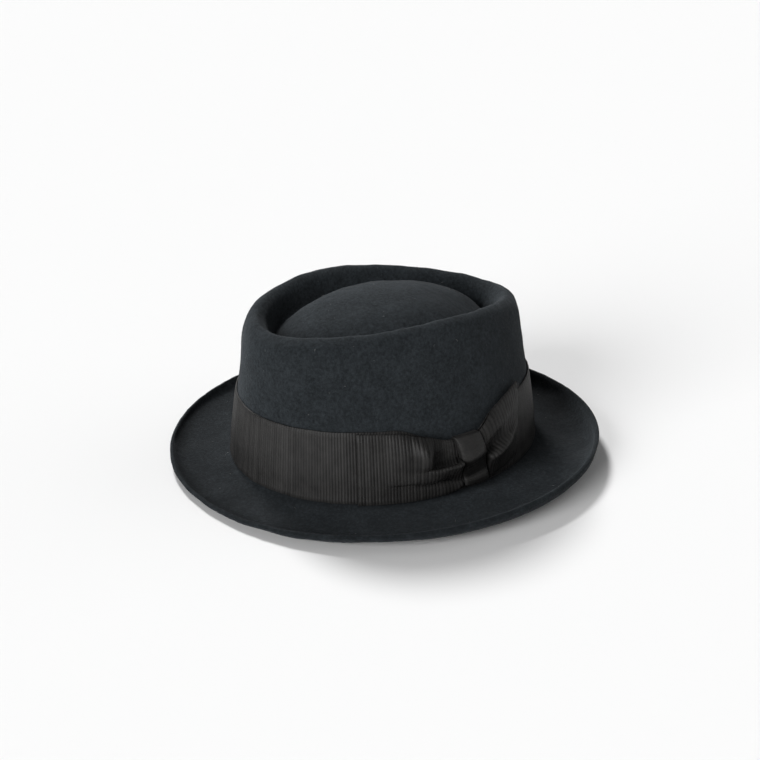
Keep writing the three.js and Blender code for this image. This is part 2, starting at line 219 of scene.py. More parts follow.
def grid_faces(columns, rows, closed, start=0):
    """Quads of a grid whose points are numbered column by column."""
    last = columns if closed else columns - 1
    i, j = np.meshgrid(np.arange(last), np.arange(rows - 1), indexing="ij")
    k = (i + 1) % columns
    quads = np.stack([i * rows + j, i * rows + j + 1, k * rows + j + 1, k * rows + j], -1)
    return (quads.reshape(-1, 4) + start).tolist()


def add_mesh(name, points, faces, material, uv=None, painted_fold_shade=None):
    """A smooth-shaded object on the hat, from points in millimetres."""
    mesh = bpy.data.meshes.new(name)
    mesh.from_pydata((np.asarray(points) * MM).tolist(), [], faces)
    mesh.validate()
    if uv is not None:
        layer = mesh.uv_layers.new(name="ribbon")
        corners = np.empty(len(mesh.loops), np.int32)
        mesh.loops.foreach_get("vertex_index", corners)
        layer.data.foreach_set("uv", np.asarray(uv)[corners].astype(np.float32).ravel())
    # A layer of painted shade for the folds, which the ribbon's material reads
    if painted_fold_shade is not None:
        painted_shade_layer = mesh.attributes.new("painted_fold_shade", "FLOAT", "POINT")
        painted_shade_layer.data.foreach_set("value", np.asarray(painted_fold_shade, np.float32).ravel())
    mesh.shade_smooth()
    mesh.materials.append(material)
    piece = bpy.data.objects.new(name, mesh)
    bpy.context.scene.collection.objects.link(piece)
    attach(piece, "root")
    return piece


def felt_side(angle, shares):
    """The upper side of the felt with its hand-made unevenness, and its normals."""
    points = through(section_points(angle), shares)
    normals = grid_normals(points, closed=True)
    middle = shares < 1e-6
    normals[:, middle] = (0, 0, 1)
    height = points[..., 2]
    off_band = np.clip(ease(height, *WAVES_ABOVE) + ease(height, *WAVES_BELOW), 0, 1)
    push = uneven(points, FELT_WAVES) * off_band * ease(shares, 0, CALM_MIDDLE)
    return points + push[..., None] * normals, normals


# How the felt looks
# Matte black wool felt, faintly blue, with a short pressed nap that makes it mottled. The nap
# stands up a little and catches the light at a low angle.
FELT_DARK = (0.0110, 0.0132, 0.0150, 1)
FELT_LIGHT = (0.0325, 0.0385, 0.0435, 1)
BRIM_PAINTED_SHADE = -0.33  # painted shade: the felt's colour is made darker on the brim
BRIM_BELOW = 20  # the brim's painted shade lies below this height and fades out up to the next
CROWN_ABOVE = 40


def node_group(name, inputs, outputs):
    """An empty shader node group with these sockets. Returns the group and its two ends."""
    group = bpy.data.node_groups.new(name, "ShaderNodeTree")
    for label, kind, value in inputs:
        socket = group.interface.new_socket(label, in_out="INPUT", socket_type=kind)
        if value is not None:
            socket.default_value = value
    for label, kind in outputs:
        group.interface.new_socket(label, in_out="OUTPUT", socket_type=kind)
    return group, group.nodes.new("NodeGroupInput"), group.nodes.new("NodeGroupOutput")


def noise_node(tree, place, scale, detail, roughness=0.6):
    node = tree.nodes.new("ShaderNodeTexNoise")
    node.inputs["Scale"].default_value = scale
    node.inputs["Detail"].default_value = detail
    node.inputs["Roughness"].default_value = roughness
    tree.links.new(place, node.inputs["Vector"])
    return node.outputs["Fac"]


def math_node(tree, operation, first, second):
    node = tree.nodes.new("ShaderNodeMath")
    node.operation = operation
    for socket, value in zip(node.inputs, (first, second)):
        if isinstance(value, (int, float)):
            socket.default_value = value
        else:
            tree.links.new(value, socket)
    return node.outputs["Value"]


def range_node(tree, value, low, high, new_low, new_high):
    node = tree.nodes.new("ShaderNodeMapRange")
    tree.links.new(value, node.inputs["Value"])
    limits = (("From Min", low), ("From Max", high), ("To Min", new_low), ("To Max", new_high))
    for label, number in limits:
        node.inputs[label].default_value = number
    return node.outputs["Result"]


def nap_group():
    """Pressed nap: a mottled shade from 0 to 1 and a height, both at the scale of the fibres."""
    group, start, end = node_group(
        "pressed_nap",
        [("Mottle", "NodeSocketFloat", 1.0)],
        [("Shade", "NodeSocketFloat"), ("Height", "NodeSocketFloat")],
    )
    place = group.nodes.new("ShaderNodeTexCoord").outputs["Object"]
    patches = range_node(group, noise_node(group, place, 90, 3), 0.3, 0.7, -0.16, 0.16)
    tufts = range_node(group, noise_node(group, place, 520, 4, 0.65), 0.32, 0.68, -0.34, 0.34)
    fibres = range_node(group, noise_node(group, place, 1900, 3, 0.7), 0.3, 0.7, -0.30, 0.30)
    change = math_node(group, "ADD", math_node(group, "ADD", patches, tufts), fibres)
    change = math_node(group, "MULTIPLY", change, start.outputs["Mottle"])
    group.links.new(math_node(group, "ADD", change, 0.45), end.inputs["Shade"])
    height = math_node(group, "ADD", tufts, math_node(group, "MULTIPLY", fibres, 0.6))
    group.links.new(height, end.inputs["Height"])
    return group


def mix_colour(tree, share, dark, light):
    node = tree.nodes.new("ShaderNodeMix")
    node.data_type = "RGBA"
    tree.links.new(share, node.inputs["Factor"])
    for label, value in (("A", dark), ("B", light)):
        socket = [s for s in node.inputs if s.name == label and s.type == "RGBA"][0]
        socket.default_value = value
    return [s for s in node.outputs if s.type == "RGBA"][0]


def bump_node(tree, height, distance, strength):
    node = tree.nodes.new("ShaderNodeBump")
    node.inputs["Distance"].default_value = distance * MM
    node.inputs["Strength"].default_value = strength
    tree.links.new(height, node.inputs["Height"])
    return node.outputs["Normal"]


def new_material(name):
    material = bpy.data.materials.new(name)
    material.use_nodes = True
    tree = material.node_tree
    return material, tree, tree.nodes["Principled BSDF"]


def felt_material():
    material, tree, shader = new_material("wool_felt")
    nap = tree.nodes.new("ShaderNodeGroup")
    nap.node_tree = nap_group()
    parts = tree.nodes.new("ShaderNodeSeparateXYZ")
    tree.links.new(tree.nodes.new("ShaderNodeTexCoord").outputs["Object"], parts.inputs["Vector"])
    # Painted shade: the felt's colour is darker below BRIM_BELOW, fading out by CROWN_ABOVE
    squeeze_and_painted_shade = range_node(tree, parts.outputs["Z"], BRIM_BELOW * MM, CROWN_ABOVE * MM, BRIM_PAINTED_SHADE, 0)
    shade = math_node(tree, "ADD", nap.outputs["Shade"], squeeze_and_painted_shade)
    tree.links.new(mix_colour(tree, shade, FELT_DARK, FELT_LIGHT), shader.inputs["Base Color"])
    tree.links.new(bump_node(tree, nap.outputs["Height"], 0.28, 0.75), shader.inputs["Normal"])
    shader.inputs["Roughness"].default_value = 0.95
    shader.inputs["Diffuse Roughness"].default_value = 1.0
    shader.inputs["Specular IOR Level"].default_value = 0.1
    shader.inputs["Sheen Weight"].default_value = 0.06
    shader.inputs["Sheen Roughness"].default_value = 0.4
    shader.inputs["Sheen Tint"].default_value = (0.86, 0.93, 1, 1)
    return material


felt = felt_material()


def felt_shell():
    """Upper side, cut edge and under side in one closed skin."""
    angle = np.arange(FELT_COLUMNS) * 2 * math.pi / FELT_COLUMNS
    fine = np.linspace(0, 1, FINE_STEPS + 1)
    sample = through(section_points(np.array([SPACED_AT])), fine)[0]
    length = np.concatenate([[0], np.cumsum(np.linalg.norm(np.diff(sample, axis=0), axis=1))])
    upper_shares = np.interp(np.linspace(0, length[-1], FELT_ROWS), length, fine)
    under_shares = np.interp(np.linspace(0, length[-1], UNDER_ROWS), length, fine)
    upper, normals = felt_side(angle, upper_shares)
    under, under_normals = felt_side(angle, under_shares)
    under = (under - FELT * under_normals)[:, ::-1]
    edge = upper[:, -1]
    edge_normal = normals[:, -1]
    out = edge - upper[:, -2]
    out /= np.linalg.norm(out, axis=-1, keepdims=True)
    ragged = uneven(edge, EDGE_WAVES)[:, None] * out
    cut = []
    for step in range(1, CUT_ROWS + 1):
        share = step / (CUT_ROWS + 1)
        bulge = EDGE_ROUND * math.sin(math.pi * share)
        cut.append(edge + ragged - FELT * share * edge_normal + bulge * out)
    cut = np.stack(cut, 1)
    rings = np.concatenate([upper[:, 1:], cut, under[:, :-1]], 1)
    rings[..., 2] = np.maximum(rings[..., 2], 0)
    rows = rings.shape[1]
    points = rings.reshape(-1, 3).tolist()
    faces = grid_faces(FELT_COLUMNS, rows, closed=True)
    top = len(points)
    points += [upper[0, 0].tolist(), under[0, -1].tolist()]
    for i in range(FELT_COLUMNS):
        k = (i + 1) % FELT_COLUMNS
        faces.append([top, i * rows, k * rows])
        faces.append([top + 1, k * rows + rows - 1, i * rows + rows - 1])
    return add_mesh("felt_shell", points, faces, felt), upper


shell, felt_skin = felt_shell()
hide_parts("felt_body")

# Loose fibres
# Wool felt is never quite smooth: single short fibres stand up all over it and show as a faint
# haze along every outline. A few grey bits of lint lie on it.
FIBRES = 24000
FIBRE_LENGTH = (0.35, 1.25)
FIBRE_RADIUS = 0.03
FIBRE_LEAN = 0.75
FIBRE_RISE = 0.15  # a fibre that rises less than this share of its length lies in the nap
LINT = 150
LINT_LENGTH = (0.5, 1.9)
LINT_RADIUS = 0.07
LINT_HEIGHT = 0.15
LINT_TILT = 0.12
LINT_DARK = (0.10, 0.10, 0.10, 1)
LINT_LIGHT = (0.42, 0.42, 0.41, 1)


def places_on(skin, count, rng):
    """Random points on a closed grid of points, spread evenly by area, with their normals."""
    ring = np.concatenate([skin, skin[:1]], 0)
    corner = ring[:-1, :-1]
    right = ring[1:, :-1] - corner
    down = ring[:-1, 1:] - corner
    normal = np.cross(down, right)
    area = np.linalg.norm(normal, axis=-1)
    chosen = rng.choice(area.size, count, p=(area / area.sum()).ravel())
    i, j = np.unravel_index(chosen, area.shape)
    u, v = rng.uniform(size=(2, count, 1))
    points = corner[i, j] + u * right[i, j] + v * down[i, j]
    return points, normal[i, j] / (area[i, j][:, None] + 1e-12)


def spikes(points, directions, lengths, radius):
    """Three-sided tapering spikes, each closed, as points and faces."""
    count = len(points)
    side = np.cross(directions, np.roll(directions, 1, axis=1) + 0.3)
    side /= np.linalg.norm(side, axis=-1, keepdims=True)
    other = np.cross(directions, side)
    corners = []
    for step in range(3):
        angle = 2 * math.pi * step / 3
        corners.append(points + radius * (math.cos(angle) * side + math.sin(angle) * other))
    corners.append(points + directions * lengths[:, None])
    vertices = np.stack(corners, 1).reshape(-1, 3)
    base = np.arange(count)[:, None] * 4
    shape = np.array([[0, 1, 3], [1, 2, 3], [2, 0, 3], [0, 2, 1]])
    return vertices, (base[:, None] + shape[None]).reshape(-1, 3).tolist()


def felt_fibres():
    rng = np.random.default_rng(17)
    points, normals = places_on(felt_skin[:, 1:], FIBRES, rng)
    lean = normals + rng.normal(size=points.shape) * FIBRE_LEAN
    lean /= np.linalg.norm(lean, axis=-1, keepdims=True)
    clear = (lean * normals).sum(-1) > FIBRE_RISE
    lengths = rng.uniform(*FIBRE_LENGTH, FIBRES)
    vertices, faces = spikes(points[clear], lean[clear], lengths[clear], FIBRE_RADIUS)
    return add_mesh("felt_fibres", vertices, faces, felt)


def lint_material():
    material, tree, shader = new_material("lint")
    place = tree.nodes.new("ShaderNodeTexCoord").outputs["Object"]
    shade = range_node(tree, noise_node(tree, place, 60, 2), 0.35, 0.65, 0, 1)
    tree.links.new(mix_colour(tree, shade, LINT_DARK, LINT_LIGHT), shader.inputs["Base Color"])
    shader.inputs["Roughness"].default_value = 0.9
    return material


def lint():
    rng = np.random.default_rng(23)
    points, normals = places_on(felt_skin[:, 1:], LINT, rng)
    along = np.cross(normals, rng.normal(size=points.shape))
    along /= np.linalg.norm(along, axis=-1, keepdims=True)
    along = along + LINT_TILT * normals
    lengths = rng.uniform(*LINT_LENGTH, LINT)
    vertices, faces = spikes(points + LINT_HEIGHT * normals, along, lengths, LINT_RADIUS)
    return add_mesh("lint_bits", vertices, faces, lint_material())


for fuzz in (felt_fibres(), lint()):
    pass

# Ribbon
# All the trim is one black grosgrain ribbon. Its close warp runs along it, over thick weft
# threads that make ribs across it, and it has a soft sheen.
RIBBON_WIDTH = 42
RIB_PITCH = 1.75
RIB_HEIGHT = 0.34
RIBBON_DARK = (0.004, 0.0039, 0.0038, 1)
RIBBON_LIGHT = (0.039, 0.0379, 0.0371, 1)
RIB_PAINTED_SHADE = (0.12, 0.46)  # tone between two ribs, darkened as painted shade, and on a rib
RIB_CHANGE = 0.13  # how much one rib's shade may differ
WARP_PITCH = 0.35
WARP_SHADE = 0.06
FOLD_PAINTED_SHADE = 0.5  # painted shade: how much the colour is darkened inside the bow's folds, where light does not reach


def grosgrain_material():
    """The map counts ribs along the ribbon and millimetres across it."""
    material, tree, shader = new_material("grosgrain")
    uv = tree.nodes.new("ShaderNodeUVMap")
    uv.uv_map = "ribbon"
    parts = tree.nodes.new("ShaderNodeSeparateXYZ")
    tree.links.new(uv.outputs["UV"], parts.inputs["Vector"])
    turns = math_node(tree, "MULTIPLY", parts.outputs["X"], math.pi)
    ridge = math_node(tree, "ABSOLUTE", math_node(tree, "SINE", turns, 0), 0)
    one_rib = tree.nodes.new("ShaderNodeTexWhiteNoise")
    one_rib.noise_dimensions = "1D"
    tree.links.new(math_node(tree, "FLOOR", parts.outputs["X"], 0), one_rib.inputs["W"])
    rows = math_node(tree, "MULTIPLY", parts.outputs["Y"], 2 * math.pi / WARP_PITCH)
    warp = math_node(tree, "SINE", rows, 0)
    place = tree.nodes.new("ShaderNodeTexCoord").outputs["Object"]
    patches = range_node(tree, noise_node(tree, place, 120, 3), 0.3, 0.7, -0.12, 0.12)
    threads = range_node(tree, noise_node(tree, place, 1500, 3, 0.7), 0.3, 0.7, -0.16, 0.16)
    # Painted shade: the colour is darker in the grooves between the ribs
    shade = range_node(tree, ridge, 0, 0.8, *RIB_PAINTED_SHADE)
    own_shade = range_node(tree, one_rib.outputs["Value"], 0, 1, -RIB_CHANGE, RIB_CHANGE)
    for part in (own_shade, patches, threads, math_node(tree, "MULTIPLY", warp, WARP_SHADE)):
        shade = math_node(tree, "ADD", shade, part)
    # Painted shade: the colour is darkened where the ribbon lies deep among its folds
    painted_shade_layer = tree.nodes.new("ShaderNodeAttribute")
    painted_shade_layer.attribute_name = "painted_fold_shade"
    painted_darkening = math_node(tree, "MULTIPLY", painted_shade_layer.outputs["Fac"], FOLD_PAINTED_SHADE)
    shade = math_node(tree, "SUBTRACT", shade, painted_darkening)
    tree.links.new(mix_colour(tree, shade, RIBBON_DARK, RIBBON_LIGHT), shader.inputs["Base Color"])
    height = math_node(tree, "ADD", math_node(tree, "MULTIPLY", warp, 0.3), threads)
    tree.links.new(bump_node(tree, height, 0.08, 0.6), shader.inputs["Normal"])
    shader.inputs["Roughness"].default_value = 0.5
    shader.inputs["Specular IOR Level"].default_value = 0.2
    shader.inputs["Sheen Weight"].default_value = 0.01
    shader.inputs["Sheen Roughness"].default_value = 0.35
    return material


grosgrain = grosgrain_material()

# Where the ribbon lies on the crown's wall, the wall is looked up in a table of places by angle
# and by height above the foot, which is made once.
WALL_FROM = len(DOME_SECTIONS) + 1 + len(RIM_SECTIONS) - 1
WALL_TO = WALL_FROM + len(WALL_SECTIONS) + 1
WALL_COLUMNS = 1440
WALL_SAMPLES = 240
WALL_STEP = 0.5
WALL_LOW = -2
WALL_HIGH = 58
WALL_HEIGHTS = np.arange(WALL_LOW, WALL_HIGH + WALL_STEP / 2, WALL_STEP)


def wall_table():
    angle = np.arange(WALL_COLUMNS) * 2 * math.pi / WALL_COLUMNS
    sections = section_points(angle)
    last = sections.shape[1] - 1
    curve = through(sections, np.linspace(WALL_FROM / last, WALL_TO / last, WALL_SAMPLES))
    rows = []
    for points, foot in zip(curve, around(FOOT, angle)):
        fall = points[::-1]
        height = fall[:, 2] - foot
        plan = [np.interp(WALL_HEIGHTS, height, fall[:, k]) for k in range(2)]
        rows.append(np.stack(plan + [WALL_HEIGHTS + foot], -1))
    places = np.array(rows)
    normals = -grid_normals(places, closed=True)
    normals[..., 2] = 0
    return places, normals / np.linalg.norm(normals, axis=-1, keepdims=True)


wall_places, wall_normals = wall_table()


def over_wall(angle, height, lift):
    """Points beside the crown's wall: angle, height above the foot, distance out from the felt."""
    angle, height, lift = np.broadcast_arrays(angle, height, lift)
    column = (angle / (2 * math.pi) * WALL_COLUMNS) % WALL_COLUMNS
    top_row = len(WALL_HEIGHTS) - 1.001  # just short of the last, so that there is one above
    row = np.clip((height - WALL_LOW) / WALL_STEP, 0, top_row)
    i = column.astype(int)
    j = row.astype(int)
    u = (column - i)[..., None]
    v = (row - j)[..., None]
    k = (i + 1) % WALL_COLUMNS

    def look_up(table):
        return mix(mix(table[i, j], table[k, j], u), mix(table[i, j + 1], table[k, j + 1], u), v)

    return look_up(wall_places) + look_up(wall_normals) * lift[..., None]


# Hat band
# The ribbon is drawn tight round the foot of the crown and its ends are joined under the bow,
# whose knot is sewn down so hard that it draws the band's upper edge in.
GAP = 0.3
BAND_THICK = 1.2
BAND_PLY = 0.8  # what the ribbon itself takes of it, without its ribs
BAND_LIFT = 0.6  # lower edge above the foot
BAND_DIP = 10.5  # how far the knot draws its upper edge down
DIP_NEAR = 14  # along the band from the knot's middle, where the dip is still whole
DIP_FAR = 44
BAND_ROWS = 16
COLUMNS_PER_RIB = 5
SELVEDGE = 0.9  # the woven edge, where the ribs end
SELVEDGE_RIBS = 0.25  # the ribs' height on its outermost part, as a share
SELVEDGE_OUT = 0.2  # how wide that part is
CORNER = 0.12  # from the edge, where an extra row keeps it crisp
EDGE_DROP = 0.35  # how far the edge is worn down
EDGE_WORN = 0.5  # over this much of the width
BAND_EDGE_WAVES = ((0.16, 26, 43), (0.07, 9, 44))
BAND_WAVES = ((0.08, 34, 41),)
RING_STEPS = 2000  # round the crown, to measure the loop
BOW_CENTRE = math.radians(87.7)
BOW_RADIUS = (HEAD_WIDTH + HEAD_LENGTH) / 4 + FELT


def rib_pattern(phase, seed):
    """How high the ribs stand, from 0 to 1, at each place along a ribbon counted in ribs."""
    rng = np.random.default_rng(seed)
    count = int(np.ceil(phase.max() - phase.min())) + 3
    strength = rng.uniform(0.7, 1.0, count)
    number = np.floor(phase - phase.min()).astype(int)
    return np.abs(np.sin(math.pi * phase)) * strength[number]


def edges_fade(across):
    """The ribs' height near the two woven edges of the ribbon, as a share."""
    from_edge = np.minimum(across, RIBBON_WIDTH - across)
    return mix(SELVEDGE_RIBS, 1, ease(from_edge, SELVEDGE_OUT, SELVEDGE))


def ribbon_uv(phase, across):
    """The same place across the ribbon on both faces of a ply, for every column."""
    rows = np.concatenate([across, across[::-1]])
    return np.stack(np.broadcast_arrays(phase[:, None], rows[None]), -1).reshape(-1, 2)


def ply_faces(columns, rows, closed):
    """Faces of a ply whose columns run up its one face and down the other."""
    faces = grid_faces(columns, rows, closed)
    for i in range(columns if closed else columns - 1):
        k = (i + 1) % columns
        faces.append([i * rows + rows - 1, i * rows, k * rows, k * rows + rows - 1])
    return faces


def hat_band():
    fine = np.linspace(0, 2 * math.pi, RING_STEPS + 1)
    ring = over_wall(fine, RIBBON_WIDTH / 2, GAP)
    length = np.concatenate([[0], np.cumsum(np.linalg.norm(np.diff(ring, axis=0), axis=1))])
    ribs = round(length[-1] / RIB_PITCH)
    columns = ribs * COLUMNS_PER_RIB
    phase = np.arange(columns) / COLUMNS_PER_RIB
    angle = np.interp(phase / ribs * length[-1], length, fine)
    extra = [CORNER, SELVEDGE, RIBBON_WIDTH - SELVEDGE, RIBBON_WIDTH - CORNER]
    across = np.sort(np.concatenate([np.linspace(0, RIBBON_WIDTH, BAND_ROWS + 1), extra]))
    ribbing = rib_pattern(phase, 31)[:, None] * edges_fade(across)[None]
    from_knot = np.abs(angle - BOW_CENTRE) * BOW_RADIUS
    drawn = 1 - BAND_DIP / RIBBON_WIDTH * (1 - ease(from_knot, DIP_NEAR, DIP_FAR))[:, None]
    height = BAND_LIFT + across[None] * drawn
    place = over_wall(angle[:, None], height, 0)
    height = height + uneven(place, BAND_EDGE_WAVES)
    from_edge = np.minimum(across, RIBBON_WIDTH - across)
    worn = EDGE_DROP * (1 - ease(from_edge, 0, EDGE_WORN))[None]
    lift = GAP + BAND_PLY + uneven(place, BAND_WAVES) + RIB_HEIGHT * ribbing - worn
    outer = over_wall(angle[:, None], height, lift)
    inner = over_wall(angle[:, None], height[:, ::-1], GAP)
    loop = np.concatenate([outer, inner], 1)
    faces = ply_faces(columns, loop.shape[1], closed=True)
    piece = add_mesh("ribbon_band", loop.reshape(-1, 3), faces, grosgrain, ribbon_uv(phase, across))
    return piece, length[-1]


band, band_length = hat_band()
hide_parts("hat_band")

# Bow strip
# A loop of the same ribbon is pressed flat along the band. Where the knot squeezes its middle,
# the ribbon in front stands up round a deep pocket with a sharp lip, and behind turns under.
STRIP_FRONT = 65
STRIP_BACK = 37
STRIP_SLANT = 12  # how much further back the back end reaches along its upper edge
STRIP_PLY = 0.55
UNDER_INSET = 0.6  # how far the under ply's edges lie behind the outer ply's
STRIP_LIFT = GAP + BAND_THICK + GAP
STRIP_THICK = 1.6
PUFF = 8.5
PLEATS_FRONT = 42
PLEATS_BACK = 30
PLEATS_START = 1.5  # how far from the knot's side the pleats have sprung up
BED_THICK = 2.8  # the strip, pressed together under the knot
BED_REACH = 15
KNOT_WIDTH = 15.6
KNOT_LEAN = 4.9  # how much further back its lower end lies
LEAN_REACH = 26
STRIP_ROWS = 72
BACK_COLUMNS = 40
PRESSED = 0.06  # share of the width over which its plies are pressed together at the edges
STRIP_WAVES = ((0.1, 22, 47),)
FOLD_REACH = (22, 12)  # columns and rows over which a fold's height sets the painted shade of its neighbours
SHALLOW = 0.25  # depth, as a share of the puff, that gets no painted shade
FOLD_TURNS = 5
# From the knot's side out to an end: share of the way, lower and upper edge as shares of the width
FRONT_EDGES = ((0, 0.12, 0.775), (0.06, 0.06, 0.785), (0.17, 0.02, 0.82), (0.32, 0.005, 0.89),
               (0.56, 0, 0.97), (1, 0, 1))
BACK_EDGES = ((0, 0.12, 0.775), (0.07, 0.08, 0.81), (0.3, 0.08, 0.97), (0.65, 0.1, 1.08),
              (1, 0.16, 1.15))
# Each fold from the lower edge up: its heights as shares of the strip's width there, and how far
# it stands out as shares of the puff, at these shares of the pleats' length
FOLD_AT = (0, 0.08, 0.2, 0.36, 0.48, 0.66, 1)
FRONT_FOLDS = (
    ((0.00, 0.00, 0.00, 0.00, 0.00, 0.00, 0.00), (0.08, 0.06, 0.04, 0.02, 0.00, 0.00, 0.00)),
    ((0.05, 0.09, 0.13, 0.14, 0.14, 0.13, 0.13), (0.04, 0.06, 0.09, 0.10, 0.08, 0.03, 0.00)),
    ((0.10, 0.17, 0.25, 0.28, 0.27, 0.26, 0.25), (0.02, 0.02, 0.00, 0.00, 0.00, 0.00, 0.00)),
    ((0.36, 0.37, 0.37, 0.33, 0.31, 0.29, 0.28), (0.30, 0.34, 0.36, 0.50, 0.40, 0.16, 0.00)),
    ((0.58, 0.58, 0.57, 0.52, 0.50, 0.42, 0.38), (0.80, 0.88, 0.90, 0.82, 0.66, 0.24, 0.00)),
    ((0.50, 0.50, 0.50, 0.48, 0.52, 0.48, 0.46), (0.18, 0.20, 0.20, 0.26, 0.66, 0.26, 0.00)),
    ((0.64, 0.64, 0.64, 0.62, 0.62, 0.60, 0.56), (0.00, 0.00, 0.00, 0.02, 0.90, 0.36, 0.00)),
    ((0.84, 0.85, 0.85, 0.84, 0.81, 0.78, 0.76), (0.04, 0.06, 0.10, 0.30, 1.00, 0.42, 0.00)),
    ((1.00, 1.00, 1.00, 1.00, 1.00, 1.00, 1.00), (0.03, 0.05, 0.10, 0.20, 0.28, 0.10, 0.00)),
)
BACK_FOLDS = (
    ((0.00, 0.00, 0.00, 0.00, 0.00, 0.00, 0.00), (0.02, 0.02, 0.03, 0.03, 0.02, 0.01, 0.00)),
    ((0.16, 0.16, 0.16, 0.16, 0.16, 0.16, 0.16), (0.06, 0.10, 0.16, 0.20, 0.20, 0.14, 0.00)),
    ((0.34, 0.34, 0.34, 0.34, 0.34, 0.34, 0.34), (0.25, 0.34, 0.46, 0.52, 0.50, 0.32, 0.03)),
    ((0.48, 0.48, 0.48, 0.49, 0.50, 0.52, 0.54), (0.50, 0.70, 0.92, 1.00, 0.94, 0.62, 0.05)),
    ((0.53, 0.53, 0.54, 0.56, 0.57, 0.60, 0.62), (0.02, 0.02, 0.10, 0.36, 0.52, 0.40, 0.00)),
    ((0.62, 0.62, 0.63, 0.66, 0.68, 0.70, 0.70), (0.00, 0.00, 0.04, 0.22, 0.36, 0.30, 0.00)),
    ((0.74, 0.74, 0.75, 0.77, 0.79, 0.80, 0.80), (0.14, 0.20, 0.34, 0.42, 0.42, 0.28, 0.00)),
    ((0.90, 0.90, 0.90, 0.90, 0.90, 0.90, 0.90), (0.10, 0.18, 0.26, 0.28, 0.24, 0.14, 0.00)),
    ((1.00, 1.00, 1.00, 1.00, 1.00, 1.00, 1.00), (0.03, 0.04, 0.06, 0.06, 0.04, 0.02, 0.00)),
)


def smooth_table(places, values, place):
    """Every row of values at any place along the table, through a smooth curve."""
    spans = len(places) - 1
    share = np.interp(place, places, np.arange(spans + 1) / spans)
    lines = np.asarray(values, float)[..., None]
    return through(np.concatenate([lines, np.zeros(lines.shape[:2] + (2,))], -1), share)[..., 0]


def strip_edges(length):
    """Heights of the strip's lower and upper edge at lengths along the band from the knot."""
    low = np.empty(len(length))
    high = np.empty(len(length))
    side = KNOT_WIDTH / 2 + GAP
    halves = ((length < 0, FRONT_EDGES, STRIP_FRONT), (length >= 0, BACK_EDGES, STRIP_BACK))
    for chosen, table, end in halves:
        places, lows, highs = np.array(table).T
        share = np.clip((np.abs(length[chosen]) - side) / (end - side), 0, 1)
        edges = smooth_table(places, (lows, highs), share)
        low[chosen], high[chosen] = BAND_LIFT + RIBBON_WIDTH * edges
    return low, high


def strip_section(length):
    """Heights and lifts of the outer ply, [column, row], at lengths along the band."""
    from_knot = np.maximum(np.abs(length) - KNOT_WIDTH / 2, 0)
    rows = np.linspace(0, 1, STRIP_ROWS + 1)
    heights = np.empty((len(length), STRIP_ROWS + 1))
    lifts = np.empty_like(heights)
    low, high = strip_edges(length)
    bed = (BED_THICK - STRIP_THICK) * (1 - ease(from_knot, PLEATS_START, BED_REACH))
    sprung = PUFF * ease(from_knot, GAP, PLEATS_START)
    halves = ((length < 0, FRONT_FOLDS, PLEATS_FRONT), (length >= 0, BACK_FOLDS, PLEATS_BACK))
    for chosen, folds, reach in halves:
        table = np.array(folds)
        distance = np.clip(from_knot[chosen] / reach, 0, 1)
        share = smooth_table(FOLD_AT, table[:, 0], distance).T
        out = np.maximum(smooth_table(FOLD_AT, table[:, 1], distance).T, 0)
        out = out * sprung[chosen, None] + bed[chosen, None]
        height = mix(low[chosen, None], high[chosen, None], share)
        curve = through(np.stack([height, out, np.zeros_like(out)], -1), rows)
        heights[chosen] = curve[..., 0]
        lifts[chosen] = np.maximum(curve[..., 1], 0)
    from_edge = np.minimum(rows, 1 - rows)
    squeeze_and_painted_shade = (STRIP_THICK - 2 * STRIP_PLY) * (1 - ease(from_edge, 0, PRESSED))
    return heights, STRIP_LIFT + STRIP_THICK - STRIP_PLY + lifts - squeeze_and_painted_shade


def tucked_in(lifts, reach):
    """How deep each place lies among the folds round it, from 0 to 1, with how far to look."""
    highest = lifts
    for axis, steps in enumerate(reach):
        margins = [(steps, steps) if axis == k else (0, 0) for k in range(2)]
        padded = np.pad(highest, margins, "edge")
        places = np.arange(highest.shape[axis])
        highest = np.max([np.take(padded, places + step, axis) for step in range(2 * steps + 1)], 0)
    return np.clip((highest - lifts) / PUFF - SHALLOW, 0, 1)


def bow_angle(length, share):
    """Angle round the crown: the strip leans with the knot near it, and its back end slants."""
    lean = KNOT_LEAN * (0.5 - share) * (1 - ease(np.abs(length), KNOT_WIDTH / 2, LEAN_REACH))
    slant = STRIP_SLANT * share * (np.maximum(length, 0) / STRIP_BACK) ** 2
    return BOW_CENTRE + (length + lean + slant) / BOW_RADIUS


